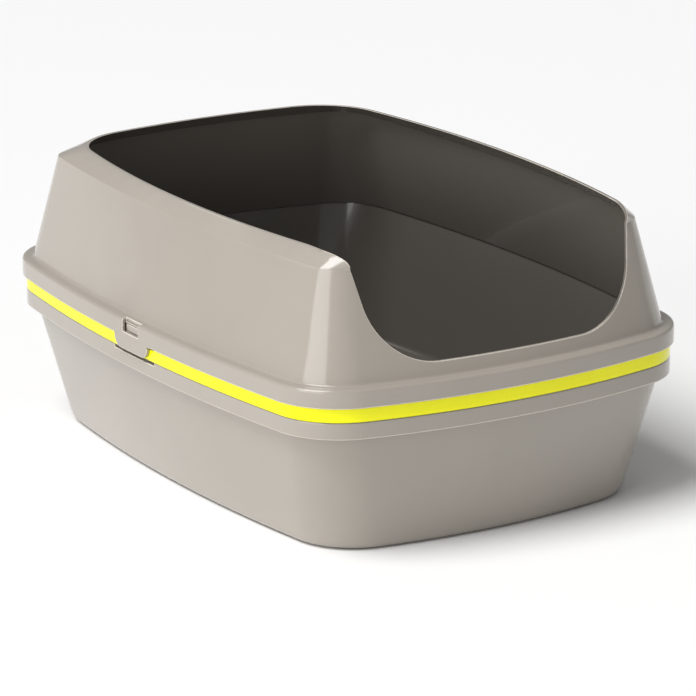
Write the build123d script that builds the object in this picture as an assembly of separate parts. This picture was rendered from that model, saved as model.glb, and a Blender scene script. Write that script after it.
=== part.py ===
from build123d import *
from math import atan, cos, hypot, pi, sin, sqrt, tan
import os

# Sifting litter box: three nested trays under a splash frame with snap tabs.
# Millimetres. The origin is the centre of the rest face, +Z is up, the low entry is
# at -Y, and left and right are as seen from the front.

# Plan of the tray rims: half sizes, corner radius, bow of the long and short sides
HALF_LENGTH = 250.0
HALF_WIDTH = 177.0
CORNER = 54.7
LONG_BOW = 22.2
SHORT_BOW = 29.1

# Trays, measured from the rim outline and from each tray's own floor
TRAY_HEIGHT = 106.0
STACK_PITCH = 11.2
WALL_INSET = 4.4
FLOOR_INSET = 29.3
FLOOR_ROUND = 8.0
FLOOR_STEPS = 3
TRAY_SKIN = 1.9
RIM_SKIN = 2.0
RIM_ROUND = 1.0
BASE_SKIRT = 12.4

# Sieve in the floor of the sifting tray
SLOT_WIDTH = 6.0
SLOT_LENGTH = 46.0
SLOT_COLUMNS = 17
SLOT_ROWS = 7
SLOT_PITCH_X = 13.5
SLOT_PITCH_Y = 54.0
SLOT_MARGIN = 4.0

# Splash frame: skirt and ledge around the rims, leaning wall, shoulder
FRAME_SKIN = 2.2
FRAME_GAP = 0.5
SKIRT_BOTTOM = 117.0
LEDGE_TOP = 130.6
LEDGE_ROUND = 2.4
FOOT_INSET = 6.0
FOOT_ROUND = 3.0
CREASE_HEIGHT = 209.7
CREASE_INSET = 27.2
SHOULDER_SKIN = 3.0

# Plan of the top opening
OPENING_HEIGHT = 219.9
OPENING_HALF_LENGTH = 221.0
OPENING_HALF_WIDTH = 141.6
OPENING_CORNER = 55.9
OPENING_LONG_BOW = 24.1
OPENING_SHORT_BOW = 17.6
OPENING_SHIFT = -12.0

# Front entry, as seen from the front
ENTRY_BOTTOM = 141.0
ENTRY_LOW_HALF_WIDTH = 103.7
ENTRY_HIGH_HALF_WIDTH = 119.4
ENTRY_CORNER = 53.0
ENTRY_TOP_ROUND = 12.0
ENTRY_TOP_EASE = 0.3
ENTRY_REACH = 100.0

# Snap tabs at the middle of the long sides, and what faces them
TAB_TOP_LENGTH = 50.0
TAB_LOW_LENGTH = 46.0
TAB_DROP = 9.8
TAB_CORNER = 8.0
NOTCH_LENGTH = 61.0
NOTCH_DEPTH = 2.6
NOTCH_INSET = 3.4

# Windows above the tabs, and the lug of the litter pan behind each
WINDOW_LENGTH = 24.0
WINDOW_BOTTOM = 120.4
WINDOW_INSET = 1.1
LUG_LENGTH = 20.0
LUG_HEIGHT = 5.0
LUG_LEVEL = 123.8
RECESS_LENGTH = 34.0
RECESS_LOW = 119.5
RECESS_HIGH = 127.0
RECESS_DEPTH = 1.1

FRAME_PROUD = FRAME_GAP + FRAME_SKIN
DRAFT = (FLOOR_INSET - WALL_INSET) / TRAY_HEIGHT
LEAN = (CREASE_INSET - FOOT_INSET) / (CREASE_HEIGHT - LEDGE_TOP)
CLEAR = 1.0
WALL_CORNER = CORNER - WALL_INSET
EDGE_STEPS = 2


def bowed_outline(half_length, half_width, corner, long_bow, short_bow, inset, z, shift=0.0):
    """Closed wire of four bowed sides joined by corner arcs, moved in by the inset."""
    side_radius = (half_length ** 2 + long_bow ** 2) / (2 * long_bow)
    end_radius = (half_width ** 2 + short_bow ** 2) / (2 * short_bow)
    side_centre = half_width - side_radius
    end_centre = half_length - end_radius

    # The corner's centre is where two circles about the side and end centres cross
    to_side = side_radius - corner
    to_end = end_radius - corner
    span = hypot(side_centre, end_centre)
    along = (to_side ** 2 - to_end ** 2 + span ** 2) / (2 * span)
    across = sqrt(to_side ** 2 - along ** 2)
    unit_x = -side_centre / span
    unit_y = end_centre / span
    corner_x = side_centre + unit_x * along - unit_y * across
    corner_y = unit_y * along + unit_x * across

    # Unit directions from the corner's centre to the two ends and the middle of its arc
    side_way = Vector(corner_x - side_centre, corner_y) / to_side
    end_way = Vector(corner_x, corner_y - end_centre) / to_end
    mid_way = (side_way + end_way).normalized()
    centre = Vector(corner_x, corner_y)
    radius = corner - inset
    start = centre + side_way * radius
    middle = centre + mid_way * radius
    finish = centre + end_way * radius
    side_mid = Vector(half_width - inset, 0)
    end_mid = Vector(0, half_length - inset)

    def quadrant(flip_x, flip_y):
        points = [side_mid, start, middle, finish, end_mid]
        return [Vector(flip_x * p.X, flip_y * p.Y + shift, z) for p in points]

    back_right = quadrant(1, 1)
    back_left = quadrant(-1, 1)
    front_left = quadrant(-1, -1)
    front_right = quadrant(1, -1)
    return Wire([
        ThreePointArc(front_right[1], front_right[0], back_right[1]),
        ThreePointArc(*back_right[1:4]),
        ThreePointArc(back_right[3], back_right[4], back_left[3]),
        ThreePointArc(*back_left[3:0:-1]),
        ThreePointArc(back_left[1], back_left[0], front_left[1]),
        ThreePointArc(*front_left[1:4]),
        ThreePointArc(front_left[3], front_left[4], front_right[3]),
        ThreePointArc(*front_right[3:0:-1]),
    ])


def rim_outline(inset, z):
    """Outline of the tray rims, moved in by the inset, or out where it is negative."""
    return bowed_outline(HALF_LENGTH, HALF_WIDTH, CORNER, LONG_BOW, SHORT_BOW, inset, z)


def wall_outline(inset, skin, z):
    """Outline of a tray's wall, moved in by the skin, whose corners keep one radius."""
    corner = WALL_CORNER + inset
    return bowed_outline(HALF_LENGTH, HALF_WIDTH, corner, LONG_BOW, SHORT_BOW, inset + skin, z)


def opening_outline(inset, z):
    """Outline of the top opening, which sits a little towards the entry."""
    return bowed_outline(
        OPENING_HALF_LENGTH, OPENING_HALF_WIDTH, OPENING_CORNER,
        OPENING_LONG_BOW, OPENING_SHORT_BOW, inset, z, OPENING_SHIFT,
    )


def upright(inset, low, high):
    """Block with upright sides over the rim outline."""
    return Solid.extrude(Face(rim_outline(inset, low)), Vector(0, 0, high - low))


def drafted(*wires):
    """Solid with straight walls from wire to wire, lowest first."""
    return Solid.make_loft(list(wires), ruled=True)


def bend(radius, turn, steps):
    """Run and rise at equal steps around an arc that starts level and turns upward."""
    angles = [turn * step / steps for step in range(steps + 1)]
    return [(radius * sin(angle), radius * (1 - cos(angle))) for angle in angles]


def eased(outline, radius, low, high):
    """Upright block over an outline, with its top edge rounded in a few bands."""
    top = [outline(radius - run, high - rise) for run, rise in bend(radius, pi / 2, EDGE_STEPS)]
    return drafted(outline(0, low), *reversed(top))


def tub(floor, skin, top):
    """Drafted tub that bends up from its floor, moved in on all sides by the skin."""
    turn = pi / 2 - atan(DRAFT)
    flat = FLOOR_INSET + FLOOR_ROUND * tan(turn / 2)
    share = (FLOOR_ROUND - skin) / FLOOR_ROUND
    rings = []
    for run, rise in bend(FLOOR_ROUND, turn, FLOOR_STEPS):
        rings.append(wall_outline(flat - run, run * (1 - share), floor + skin + rise * share))
    wall_skin = skin * sqrt(1 + DRAFT ** 2)
    inset = WALL_INSET - (top - floor - TRAY_HEIGHT) * DRAFT
    return drafted(*rings, wall_outline(inset, wall_skin, top))


def tray(floor, skirt):
    """Drafted tub on the floor height, whose rim turns out and down into a skirt."""
    rim = floor + TRAY_HEIGHT
    rolled = eased(rim_outline, RIM_ROUND, rim - skirt, rim)
    groove = upright(RIM_SKIN, rim - skirt - CLEAR, rim - RIM_SKIN)
    return rolled - groove + tub(floor, 0, rim) - tub(floor, TRAY_SKIN, rim + CLEAR)


def side_plane(side, inset, level):
    """Plane facing out of one long side, with its x along the side and its y up."""
    return Plane(origin=(side * (HALF_WIDTH - inset), 0, level), x_dir=(0, side, 0), z_dir=(side, 0, 0))


def side_pocket(side, length, low, high, inset):
    """Cutter across the middle of one long side, from outside it in to the inset."""
    face = side_plane(side, inset, (low + high) / 2) * Rectangle(length, high - low)
    return extrude(face, amount=inset + FRAME_PROUD + CLEAR)


def tab_notch(side, rim):
    """Notch in a rim's top edge, which clears the end of a snap tab."""
    return side_pocket(side, NOTCH_LENGTH, rim - NOTCH_DEPTH, rim + CLEAR, NOTCH_INSET)


def slot_places():
    """Centres of the slots that lie wholly on the flat of the floor."""
    inset = FLOOR_INSET + FLOOR_ROUND + SLOT_MARGIN
    flat = Face(rim_outline(inset, 0))
    for column in range(SLOT_COLUMNS):
        x = (column - (SLOT_COLUMNS - 1) / 2) * SLOT_PITCH_X
        for row in range(SLOT_ROWS):
            y = (row - (SLOT_ROWS - 1) / 2) * SLOT_PITCH_Y
            ends = [(x + dx, y + dy) for dx in (-SLOT_WIDTH / 2, SLOT_WIDTH / 2)
                    for dy in (-SLOT_LENGTH / 2, SLOT_LENGTH / 2)]
            if all(flat.is_inside((end_x, end_y, 0)) for end_x, end_y in ends):
                yield x, y


def sieve_slots(floor):
    """Cutters for the sieve: long slots with chamfered ends."""
    slot = chamfer(Rectangle(SLOT_WIDTH, SLOT_LENGTH).vertices(), SLOT_WIDTH / 3)
    depth = TRAY_SKIN + 2 * CLEAR
    return [extrude(Pos(x, y, floor - CLEAR) * slot, amount=depth) for x, y in slot_places()]


def base_pan():
    """Bottom pan, with a notch in its rim under each snap tab."""
    pan = tray(0, BASE_SKIRT)
    for side in (-1, 1):
        pan -= tab_notch(side, TRAY_HEIGHT)
    return pan


def sifting_tray():
    """Middle tray, with the sieve in its floor."""
    floor = STACK_PITCH
    sieve = tray(floor, STACK_PITCH)
    for side in (-1, 1):
        sieve -= tab_notch(side, floor + TRAY_HEIGHT)
    return sieve - sieve_slots(floor)


def litter_pan():
    """Top pan, with a recessed lug on its rim behind each window of the frame."""
    pan = tray(2 * STACK_PITCH, STACK_PITCH)
    for side in (-1, 1):
        pan -= side_pocket(side, RECESS_LENGTH, RECESS_LOW, RECESS_HIGH, RECESS_DEPTH)
        lug = side_plane(side, RECESS_DEPTH + RIM_SKIN / 4, LUG_LEVEL) * SlotOverall(LUG_LENGTH, LUG_HEIGHT)
        pan += extrude(lug, amount=RECESS_DEPTH + RIM_SKIN / 4)
    return pan


def entry_cutter():
    """U-shaped cutter through the front wall, flared where it meets the top opening."""
    level = OPENING_HEIGHT + ENTRY_TOP_EASE
    above = OPENING_HEIGHT + ENTRY_TOP_ROUND
    beyond = ENTRY_HIGH_HALF_WIDTH + 3 * ENTRY_TOP_ROUND
    right = [
        (ENTRY_LOW_HALF_WIDTH, ENTRY_BOTTOM),
        (ENTRY_HIGH_HALF_WIDTH, level),
        (beyond, level),
        (beyond, above),
    ]
    left = [(-x, z) for x, z in reversed(right)]
    shape = make_face(Polyline(*right, *left, close=True))
    low = shape.vertices().filter_by_position(Axis.Y, ENTRY_BOTTOM - 1, ENTRY_BOTTOM + 1)
    shape = fillet(low, ENTRY_CORNER)
    high = shape.vertices().filter_by_position(Axis.Y, level - 1, level + 1)
    shape = fillet([v for v in high if abs(v.X) < beyond - 1], ENTRY_TOP_ROUND)
    front = Plane(origin=(0, -HALF_LENGTH, 0), x_dir=(1, 0, 0), z_dir=(0, -1, 0))
    return extrude(front * shape, amount=-ENTRY_REACH)


def leaning_wall():
    """Outside of the frame's wall, which sweeps up out of the ledge to the crease."""
    turn = pi / 2 - atan(LEAN)
    flat = FOOT_INSET - FOOT_ROUND * tan(turn / 2)
    rings = [rim_outline(flat + run, LEDGE_TOP + rise) for run, rise in bend(FOOT_ROUND, turn, EDGE_STEPS)]
    rings[0] = rim_outline(flat, LEDGE_TOP - FRAME_SKIN / 2)
    return drafted(*rings, rim_outline(CREASE_INSET, CREASE_HEIGHT))


def splash_frame():
    """Frame around the rims: skirt, ledge, leaning wall, crease, shoulder, opening."""
    ledge = eased(lambda inset, z: rim_outline(inset - FRAME_PROUD, z), LEDGE_ROUND, SKIRT_BOTTOM, LEDGE_TOP)
    under = upright(-FRAME_GAP, SKIRT_BOTTOM - CLEAR, LEDGE_TOP - FRAME_SKIN)
    shoulder = drafted(rim_outline(CREASE_INSET, CREASE_HEIGHT), opening_outline(0, OPENING_HEIGHT))

    skin_inset = FRAME_SKIN * sqrt(1 + LEAN ** 2)
    below = 2 * FRAME_SKIN
    hollow = drafted(
        rim_outline(FOOT_INSET + skin_inset - below * LEAN, LEDGE_TOP - below),
        rim_outline(CREASE_INSET + skin_inset, CREASE_HEIGHT),
        opening_outline(SHOULDER_SKIN, OPENING_HEIGHT),
        opening_outline(SHOULDER_SKIN, OPENING_HEIGHT + CLEAR),
    )

    frame = ledge + leaning_wall() + shoulder - under - hollow - entry_cutter()
    for side in (-1, 1):
        frame -= side_pocket(side, WINDOW_LENGTH, WINDOW_BOTTOM, LEDGE_TOP + CLEAR, WINDOW_INSET)
    return frame


def snap_tab(side):
    """Springy tab that hangs from the skirt and reaches down over the yellow rim."""
    low = -TAB_DROP
    top = TAB_TOP_LENGTH / 2
    foot = TAB_LOW_LENGTH / 2
    shape = make_face(Polyline((-top, 0), (top, 0), (foot, low), (-foot, low), close=True))
    shape = fillet(shape.vertices().filter_by_position(Axis.Y, low - 1, low + 1), TAB_CORNER)
    prism = extrude(side_plane(side, HALF_WIDTH / 4, SKIRT_BOTTOM) * shape, amount=HALF_WIDTH / 2)
    skirt = upright(-FRAME_PROUD, SKIRT_BOTTOM + 2 * low, SKIRT_BOTTOM)
    inside = upright(-FRAME_GAP, SKIRT_BOTTOM + 2 * low, SKIRT_BOTTOM)
    return prism & (skirt - inside)


def write(name, shape):
    """Writes one piece to its own file."""
    export_step(shape, "parts/" + name + ".step")


os.makedirs("parts", exist_ok=True)
write("base_pan", base_pan())
write("sifting_tray", sifting_tray())
write("litter_pan", litter_pan())
write("splash_frame", splash_frame())
write("snap_tab_left", snap_tab(-1))
write("snap_tab_right", snap_tab(1))
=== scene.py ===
import bpy
from math import cos, radians, sin
from mathutils import Matrix, Vector

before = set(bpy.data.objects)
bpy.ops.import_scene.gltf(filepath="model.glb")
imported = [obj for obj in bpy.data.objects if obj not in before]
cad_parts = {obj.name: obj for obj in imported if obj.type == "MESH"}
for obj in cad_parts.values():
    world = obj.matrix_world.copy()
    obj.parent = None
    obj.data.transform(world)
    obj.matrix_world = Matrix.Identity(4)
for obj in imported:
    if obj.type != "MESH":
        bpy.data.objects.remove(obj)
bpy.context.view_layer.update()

# Sifting litter box in moulded plastic. Metres, in the CAD frame: the low entry is at -Y.

# Camera: its direction from the target in degrees, its distance, and the frame in pixels
CAMERA_AZIMUTH = -31.339
CAMERA_ELEVATION = 16.531
CAMERA_ROLL = -0.3995
CAMERA_DISTANCE = 3.0342
CAMERA_TARGET = (-0.0630, -0.1204, 0.120)
CAMERA_REACH = 50
PICTURE = 696
FOCAL_PIXELS = 4175.56
AXIS_PIXEL = (350.613, 350.148)
SENSOR = 36.0

# Floor and light: a softbox low on the left, and a soft sun high on the left
FLOOR_HALF = 30.0
FLOOR_CORNERS = ((-1, -1), (1, -1), (1, 1), (-1, 1))
FLOOR_COLOUR = (0.93, 0.93, 0.93, 1)
FLOOR_ROUGHNESS = 0.8
SURROUND_COLOUR = (1, 1, 1, 1)
SURROUND_STRENGTH = 0.29
SOFTBOX_PLACE = (-2.95, -0.92, 0.95)
SOFTBOX_AIM = (0, 0, 0.12)
SOFTBOX_SIZE = (2.1, 1.9)
SOFTBOX_POWER = 37
SUN_FROM = (-0.50, -0.02, 0.86)
SUN_STRENGTH = 2.6
SUN_DEGREES = 35

# Shape that the finish and its painted inside shade follow: half the rims' plan, and heights
HALF_WIDTH = 0.177
HALF_LENGTH = 0.250
OPENING_LEVEL = 0.2199
CREASE_LEVEL = 0.2097
CREASE_SLACK = 0.0002

# Painted shadow: dark line under the yellow rim, and the share of a band's reach that has its full
# strength
JOINT_LINE_LEVEL = 0.106
JOINT_LINE_REACH = 0.0006
BAND_CORE = 0.7

# Colours of the plastics, in linear red, green and blue
GREY_PLASTIC = (0.362, 0.328, 0.286)
YELLOW_PLASTIC = (0.97, 0.95, 0.0)

# Painted shade inside the hollow: how far a wall faces inward and a floor faces up before they
# count, and the deep part, which is darker
INWARD_FACING = (0.10, 0.35)
UPWARD_FACING = (0.5, 0.8)
FLOOR_FADE = 0.02
NO_FLOOR = -1.0
DEEP_LEVEL = 0.10
DEEP_SHARE = 0.5

# Edges: radius of their rounding in shading, and how far they turn before a painted highlight makes
# them paler
EDGE_SOFTNESS = 0.0015
EDGE_SAMPLES = 6
EDGE_TURN = (0.03, 0.13)
EDGE_PAINTED_HIGHLIGHT = 1.8

# Top edge of the snap tabs, where they join the skirt
TAB_SEAM_LEVEL = 0.117
TAB_SEAM_REACH = 1.5 * EDGE_SOFTNESS
TAB_HALF_LENGTH = 0.0255
TAB_SEAM_END = 1.03 * TAB_HALF_LENGTH

# Patterns: scale and detail of the noise, the range of it that shows, and what it does
MOTTLE_NOISE = (9, 3)
MOTTLE_RANGE = (0.3, 0.7)
MOTTLE_TONES = (0.97, 1.02)
SCUFF_NOISE = (60, 6)
SCUFF_RANGE = (0.55, 0.80)
SCUFF_ROUGHNESS = 0.04
GRAIN_NOISE = (1400, 2)
GRAIN_STRENGTH = 0.05
GRAIN_HEIGHT = 0.0003

# Gloss
GLOSS_ROUGHNESS = 0.15
PLASTIC_IOR = 1.5
COAT_SHARE = 0.5
COAT_ROUGHNESS = 0.04

# Smooth shading
WELD_DISTANCE = 1e-6
SHARP_DEGREES = 50
NORMAL_WEIGHT = 100

# What each piece's plastic has of its own, its painted shade and painted shadow among it: see
# moulded_plastic
FINISHES_AND_PAINTED_SHADE = {
    "base_pan": {"floor_level": 0.09, "joint_painted_shadow": 0.2},
    "sifting_tray": {
        "colour": YELLOW_PLASTIC,
        "floor_level": 0.10,
        "inside_painted_shade": 0.9,
        "sheen": 0.3,
        "joint_painted_shadow": 0.7,
    },
    "litter_pan": {"floor_level": 0.12},
    "splash_frame": {},
    "snap_tab_left": {"inside_painted_shade": 1.0},
    "snap_tab_right": {"inside_painted_shade": 1.0},
}

# Numbers of the Mix node's two inputs and its output, by the kind of value
MIX_SOCKETS = {"FLOAT": (2, 3, 0), "VECTOR": (4, 5, 1)}


def place_camera():
    """Camera at the fitted viewpoint, with the small shift of the photographed frame."""
    azimuth = radians(CAMERA_AZIMUTH)
    elevation = radians(CAMERA_ELEVATION)
    roll = radians(CAMERA_ROLL)
    back = Vector((
        sin(azimuth) * cos(elevation),
        -cos(azimuth) * cos(elevation),
        sin(elevation),
    ))
    right = (-back).cross(Vector((0, 0, 1))).normalized()
    up = right.cross(-back)
    rolled_right = cos(roll) * right + sin(roll) * up
    rolled_up = -sin(roll) * right + cos(roll) * up
    turn = Matrix((rolled_right, rolled_up, back)).transposed().to_4x4()
    place = Vector(CAMERA_TARGET) + back * CAMERA_DISTANCE

    data = bpy.data.cameras.new("camera")
    data.sensor_width = SENSOR
    data.lens = FOCAL_PIXELS / PICTURE * SENSOR
    data.shift_x = (PICTURE / 2 - AXIS_PIXEL[0]) / PICTURE
    data.shift_y = (AXIS_PIXEL[1] - PICTURE / 2) / PICTURE
    data.clip_end = CAMERA_REACH
    camera = bpy.data.objects.new("camera", data)
    bpy.context.scene.collection.objects.link(camera)
    camera.matrix_world = Matrix.Translation(place) @ turn
    bpy.context.scene.camera = camera


class Nodes:
    """Short way to add and join the nodes of one tree."""

    def __init__(self, tree):
        self.tree = tree

    def feed(self, socket, value):
        """Links a socket to another one, or sets it to a constant."""
        if isinstance(value, bpy.types.NodeSocket):
            self.tree.links.new(value, socket)
        else:
            socket.default_value = value

    def fill(self, node, **inputs):
        """Feeds a node's inputs, named with an underscore for each space."""
        for name, value in inputs.items():
            self.feed(node.inputs[name.replace("_", " ")], value)

    def add(self, kind, settings=None, **inputs):
        """New node of a kind, with its settings and its inputs."""
        node = self.tree.nodes.new(kind)
        for name, value in (settings or {}).items():
            setattr(node, name, value)
        self.fill(node, **inputs)
        return node

    def ordered(self, kind, operation, *values):
        """New node of a kind that does an operation on values, which it takes in order."""
        node = self.add(kind, {"operation": operation})
        for socket, value in zip(node.inputs, values):
            self.feed(socket, value)
        return node

    def maths(self, operation, *values):
        """Result of an operation on numbers."""
        return self.ordered("ShaderNodeMath", operation, *values).outputs[0]

    def times(self, product, *factors):
        """Product of two or more numbers."""
        for factor in factors:
            product = self.maths("MULTIPLY", product, factor)
        return product

    def split(self, vector):
        """The x, y and z of a vector."""
        return tuple(self.add("ShaderNodeSeparateXYZ", Vector=vector).outputs)

    def ramp(self, value, span, start=0.0, end=1.0):
        """Goes smoothly from start to end as the value crosses the span."""
        limits = {"From_Min": span[0], "From_Max": span[1], "To_Min": start, "To_Max": end}
        smooth = {"interpolation_type": "SMOOTHSTEP"}
        return self.add("ShaderNodeMapRange", smooth, Value=value, **limits).outputs["Result"]

    def mix(self, kind, share, first, second):
        """The first value at a share of nought, and the second one at a share of one."""
        low, high, result = MIX_SOCKETS[kind]
        node = self.add("ShaderNodeMix", {"data_type": kind}, Factor=share)
        self.feed(node.inputs[low], first)
        self.feed(node.inputs[high], second)
        return node.outputs[result]


def new_material(name):
    """New material, with its nodes and its shader."""
    material = bpy.data.materials.new(name)
    material.use_nodes = True
    return material, Nodes(material.node_tree), material.node_tree.nodes["Principled BSDF"]


def lay_floor():
    """Plain pale floor."""
    material, nodes, shader = new_material("pale_floor")
    nodes.fill(shader, Base_Color=FLOOR_COLOUR, Roughness=FLOOR_ROUGHNESS)
    mesh = bpy.data.meshes.new("floor")
    corners = [(x * FLOOR_HALF, y * FLOOR_HALF, 0) for x, y in FLOOR_CORNERS]
    mesh.from_pydata(corners, [], [(0, 1, 2, 3)])
    mesh.materials.append(material)
    floor = bpy.data.objects.new("floor", mesh)
    bpy.context.scene.collection.objects.link(floor)


def add_light(name, kind, direction, power):
    """Light of a kind that shines in a direction."""
    light = bpy.data.objects.new(name, bpy.data.lights.new(name, kind))
    light.data.energy = power
    light.rotation_mode = "QUATERNION"
    light.rotation_quaternion = direction.to_track_quat("-Z", "Y")
    bpy.context.scene.collection.objects.link(light)
    return light


def light_studio():
    """Pale surroundings, the softbox and the sun."""
    world = bpy.data.worlds.new("surroundings")
    world.use_nodes = True
    background = world.node_tree.nodes["Background"]
    background.inputs["Color"].default_value = SURROUND_COLOUR
    background.inputs["Strength"].default_value = SURROUND_STRENGTH
    bpy.context.scene.world = world
    bpy.context.scene.view_settings.view_transform = "Standard"

    direction = Vector(SOFTBOX_AIM) - Vector(SOFTBOX_PLACE)
    softbox = add_light("left_softbox", "AREA", direction, SOFTBOX_POWER)
    softbox.location = SOFTBOX_PLACE
    softbox.data.shape = "RECTANGLE"
    softbox.data.size = SOFTBOX_SIZE[0]
    softbox.data.size_y = SOFTBOX_SIZE[1]
    sun = add_light("key", "SUN", -Vector(SUN_FROM), SUN_STRENGTH)
    sun.data.angle = radians(SUN_DEGREES)


def inside_shade_share(nodes, spot, facing, floor_level):
    """One on the faces that look in on the box's hollow, where shade is painted, and nought
    outside.
    """
    out_x = nodes.times(nodes.maths("DIVIDE", spot[0], HALF_WIDTH), facing[0])
    out_y = nodes.times(nodes.maths("DIVIDE", spot[1], HALF_LENGTH), facing[1])
    inward = nodes.times(nodes.maths("ADD", out_x, out_y), -1)
    wall = nodes.ramp(inward, INWARD_FACING)
    upward = nodes.ramp(facing[2], UPWARD_FACING)
    low = nodes.ramp(spot[2], (floor_level, floor_level + FLOOR_FADE), 1.0, 0.0)
    return nodes.maths("MAXIMUM", wall, nodes.times(upward, low))


def band(nodes, value, centre, reach):
    """One where the value is near the centre, and nought beyond its reach."""
    distance = nodes.maths("ABSOLUTE", nodes.maths("SUBTRACT", value, centre))
    return nodes.ramp(distance, (BAND_CORE * reach, reach), 1.0, 0.0)


def tab_seam(nodes, spot):
    """One where a snap tab joins the skirt that it is moulded in one with, and nought elsewhere."""
    along = nodes.maths("ABSOLUTE", spot[1])
    across = nodes.ramp(along, (TAB_HALF_LENGTH, TAB_SEAM_END), 1.0, 0.0)
    return nodes.times(across, band(nodes, spot[2], TAB_SEAM_LEVEL, TAB_SEAM_REACH))


def soft_edges(nodes, spot):
    """Normal that is rounded over sharp edges, and a share that is one on them, seams apart, for
    the painted edge highlight.
    """
    bevel = nodes.add("ShaderNodeBevel", {"samples": EDGE_SAMPLES}, Radius=EDGE_SOFTNESS)
    rounded = bevel.outputs["Normal"]
    flat = nodes.add("ShaderNodeNewGeometry").outputs["Normal"]
    match = nodes.ordered("ShaderNodeVectorMath", "DOT_PRODUCT", rounded, flat).outputs["Value"]
    edge = nodes.ramp(nodes.maths("SUBTRACT", 1.0, match), EDGE_TURN)
    seam = tab_seam(nodes, spot)
    normal = nodes.mix("VECTOR", seam, rounded, flat)
    return normal, nodes.times(edge, nodes.maths("SUBTRACT", 1.0, seam))


def moulded_plastic(
    name,
    colour=GREY_PLASTIC,
    floor_level=NO_FLOOR,
    inside_painted_shade=0.5,
    sheen=0.5,
    joint_painted_shadow=0.0,
):
    """Glossy moulded plastic: faint mottle, fine grain, scuffs and a painted highlight on edges.

    Painted shade: its colour is multiplied by inside_painted_shade on walls that face inward and
    on faces that look up under floor_level, and by half of that deep down. The joint's line is
    darker by joint_painted_shadow, a painted shadow.
    """
    material, nodes, shader = new_material(name)
    place = nodes.add("ShaderNodeTexCoord").outputs
    spot = nodes.split(place["Object"])
    facing = nodes.split(place["Normal"])
    normal, edge = soft_edges(nodes, spot)

    def noise(scale, detail):
        """Noise from nought to one that is fixed to the object."""
        fields = {"Vector": place["Object"], "Scale": scale, "Detail": detail}
        return nodes.add("ShaderNodeTexNoise", **fields).outputs["Fac"]

    mottle = nodes.ramp(noise(*MOTTLE_NOISE), MOTTLE_RANGE, *MOTTLE_TONES)
    # Painted shade: inward walls and low floors darker, and darker still towards the bottom
    depth = (DEEP_LEVEL, OPENING_LEVEL)
    dark = nodes.ramp(spot[2], depth, inside_painted_shade * DEEP_SHARE, inside_painted_shade)
    inside = nodes.mix("FLOAT", inside_shade_share(nodes, spot, facing, floor_level), 1.0, dark)
    # Painted highlight: sharp edges made paler
    painted_edge_highlight = nodes.maths("ADD", nodes.times(edge, EDGE_PAINTED_HIGHLIGHT), 1.0)
    # Painted shadow: the dark line where the yellow skirt sits on the base pan's rim
    joint = band(nodes, spot[2], JOINT_LINE_LEVEL, JOINT_LINE_REACH)
    line = nodes.maths("SUBTRACT", 1.0, nodes.times(joint, joint_painted_shadow))
    tone = nodes.times(mottle, inside, painted_edge_highlight, line)
    tint = nodes.add("ShaderNodeVectorMath", {"operation": "SCALE"}, Scale=tone)
    nodes.feed(tint.inputs[0], colour)

    scuff = nodes.ramp(noise(*SCUFF_NOISE), SCUFF_RANGE, 0.0, SCUFF_ROUGHNESS)
    grain = nodes.add("ShaderNodeBump", Strength=GRAIN_STRENGTH, Distance=GRAIN_HEIGHT)
    nodes.fill(grain, Height=noise(*GRAIN_NOISE), Normal=normal)
    nodes.fill(
        shader,
        Base_Color=tint.outputs[0],
        Roughness=nodes.maths("ADD", scuff, GLOSS_ROUGHNESS),
        IOR=PLASTIC_IOR,
        Specular_IOR_Level=sheen,
        Coat_Weight=sheen * COAT_SHARE,
        Coat_Roughness=COAT_ROUGHNESS,
        Normal=grain.outputs["Normal"],
    )
    return material


def smoothing_group():
    """Modifier that shades smoothly across gentle bends and keeps corners and the crease."""
    group = bpy.data.node_groups.new("smooth_bends", "GeometryNodeTree")
    for direction in ("INPUT", "OUTPUT"):
        group.interface.new_socket("Geometry", in_out=direction, socket_type="NodeSocketGeometry")
    nodes = Nodes(group)
    start = nodes.add("NodeGroupInput").outputs[0]
    weld = nodes.add("GeometryNodeMergeByDistance", Geometry=start, Distance=WELD_DISTANCE)
    faces = nodes.add("GeometryNodeSetShadeSmooth", Geometry=weld.outputs["Geometry"])

    angle = nodes.add("GeometryNodeInputMeshEdgeAngle").outputs["Unsigned Angle"]
    above = {"data_type": "FLOAT", "operation": "GREATER_THAN"}
    corner = nodes.add("FunctionNodeCompare", above, A=angle, B=radians(SHARP_DEGREES))
    height = nodes.split(nodes.add("GeometryNodeInputPosition").outputs["Position"])[2]
    crease = nodes.maths("COMPARE", height, CREASE_LEVEL, CREASE_SLACK)
    sharp = nodes.ordered("FunctionNodeBooleanMath", "OR", corner.outputs["Result"], crease)

    edges = nodes.add("GeometryNodeSetShadeSmooth", {"domain": "EDGE"}, Shade_Smooth=False)
    nodes.fill(edges, Geometry=faces.outputs["Geometry"], Selection=sharp.outputs["Boolean"])
    nodes.feed(nodes.add("NodeGroupOutput").inputs[0], edges.outputs["Geometry"])
    return group


def dress():
    """Gives every CAD piece its material and its smooth shading."""
    group = smoothing_group()
    for node, finish_and_painted_shade in FINISHES_AND_PAINTED_SHADE.items():
        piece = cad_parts[node]
        piece.material_slots[0].material = moulded_plastic(node + "_plastic", **finish_and_painted_shade)
        smooth = piece.modifiers.new("smooth_bends", "NODES")
        smooth.node_group = group
        weighted = piece.modifiers.new("weighted_normals", "WEIGHTED_NORMAL")
        weighted.keep_sharp = True
        weighted.weight = NORMAL_WEIGHT


place_camera()
lay_floor()
light_studio()
dress()
